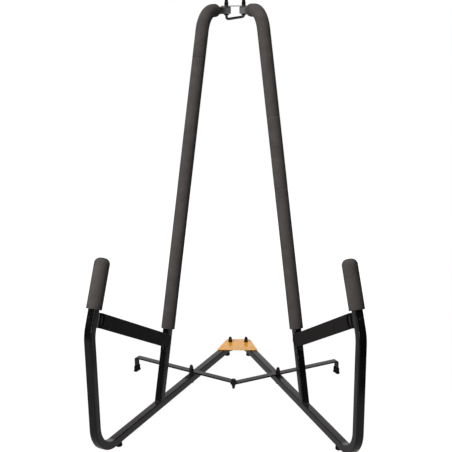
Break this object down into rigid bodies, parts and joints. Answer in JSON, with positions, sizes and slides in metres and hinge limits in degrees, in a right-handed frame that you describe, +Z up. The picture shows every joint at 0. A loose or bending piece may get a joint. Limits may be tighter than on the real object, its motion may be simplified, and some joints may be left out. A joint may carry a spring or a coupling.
{
  "type": "cello stand",
  "caption": "Folding cello stand: bent square-tube side frames hinged at the back, foam-sleeved uprights and arms, support strips and pivoting stays.",
  "frame": {"origin": "middle of the footprint on the floor", "axes": "+Z up, the front of the stand, where the instrument goes in, towards -Y, +X to the right seen from the front"},
  "size_m": [0.688, 0.7668, 1.1576],
  "materials": {
    "powder_coat": "satin black powder coat",
    "foam": "matte charcoal closed-cell foam sleeve",
    "plug_plastic": "moulded black plastic",
    "rubber": "moulded black rubber",
    "facing": "matte dark grey rubber facing",
    "gold_zinc": "yellow zinc-plated steel",
    "bright_zinc": "bright zinc-plated steel",
    "black_nickel": "glossy black nickel plate",
    "black_zinc": "black zinc-plated steel"
  },
  "bodies": {
    "hinge_set": {"rear_hinge_plate": "gold_zinc", "top_link_strap": "powder_coat", "top_link_rod": "black_zinc", "left_rear_hinge_bolt": "bright_zinc", "left_rear_hinge_washer": "bright_zinc", "left_rear_hinge_nut": "black_nickel", "left_top_link_bush": "plug_plastic", "left_top_link_washer": "black_nickel", "left_top_link_nut": "black_nickel", "right_rear_hinge_bolt": "bright_zinc", "right_rear_hinge_washer": "bright_zinc", "right_rear_hinge_nut": "black_nickel", "right_top_link_bush": "plug_plastic", "right_top_link_washer": "black_nickel", "right_top_link_nut": "black_nickel"},
    "left_frame": {"left_base_tube": "powder_coat", "left_upright_tube": "powder_coat", "left_base_plug": "plug_plastic", "left_top_plug": "plug_plastic", "left_arm_plug": "plug_plastic", "left_upright_foam": "foam", "left_arm_foam": "foam", "left_support_strip": "powder_coat", "left_support_pad": "facing", "left_strip_front_screw": "black_nickel", "left_strip_front_nut": "black_zinc", "left_strip_rear_screw": "black_nickel", "left_front_foot": "rubber", "left_rear_foot": "rubber", "left_stay_bolt": "bright_zinc", "left_stay_spacer": "plug_plastic", "left_stay_nut": "black_nickel"},
    "left_stay": {"left_stay_bar": "powder_coat", "left_stay_boot": "rubber", "centre_pivot_bolt": "black_nickel"},
    "right_frame": {"right_base_tube": "powder_coat", "right_upright_tube": "powder_coat", "right_base_plug": "plug_plastic", "right_top_plug": "plug_plastic", "right_arm_plug": "plug_plastic", "right_upright_foam": "foam", "right_arm_foam": "foam", "right_support_strip": "powder_coat", "right_support_pad": "facing", "right_strip_front_screw": "black_nickel", "right_strip_front_nut": "black_zinc", "right_strip_rear_screw": "black_nickel", "right_front_foot": "rubber", "right_rear_foot": "rubber", "right_stay_bolt": "bright_zinc", "right_stay_spacer": "plug_plastic", "right_stay_nut": "black_nickel"},
    "right_stay": {"right_stay_bar": "powder_coat", "right_stay_boot": "rubber", "centre_pivot_nut": "black_nickel"}
  },
  "joints": [
    {"name": "left_frame_fold", "type": "hinge", "parent": "hinge_set", "child": "left_frame", "pos_m": [-0.0264, 0.36092, 0], "axis": [0, 0, 1], "range_deg": [0, 21.5]},
    {"name": "right_frame_fold", "type": "hinge", "parent": "hinge_set", "child": "right_frame", "pos_m": [0.0264, 0.36092, 0], "axis": [0, 0, 1], "range_deg": [-21.5, 0]},
    {"name": "left_stay_swing", "type": "hinge", "parent": "left_frame", "child": "left_stay", "pos_m": [-0.13254, 0.10593, 0.0464], "axis": [0, 0, 1], "range_deg": [-70.65, 0]},
    {"name": "right_stay_swing", "type": "hinge", "parent": "right_frame", "child": "right_stay", "pos_m": [0.13254, 0.10593, 0.0414], "axis": [0, 0, 1], "range_deg": [0, 70.65]}
  ],
  "couplings": [
    {"joint": "right_frame_fold", "follows": "left_frame_fold", "ratio": -1},
    {"joint": "left_stay_swing", "follows": "left_frame_fold", "ratio": -3.2859},
    {"joint": "right_stay_swing", "follows": "left_frame_fold", "ratio": 3.2859}
  ]
}
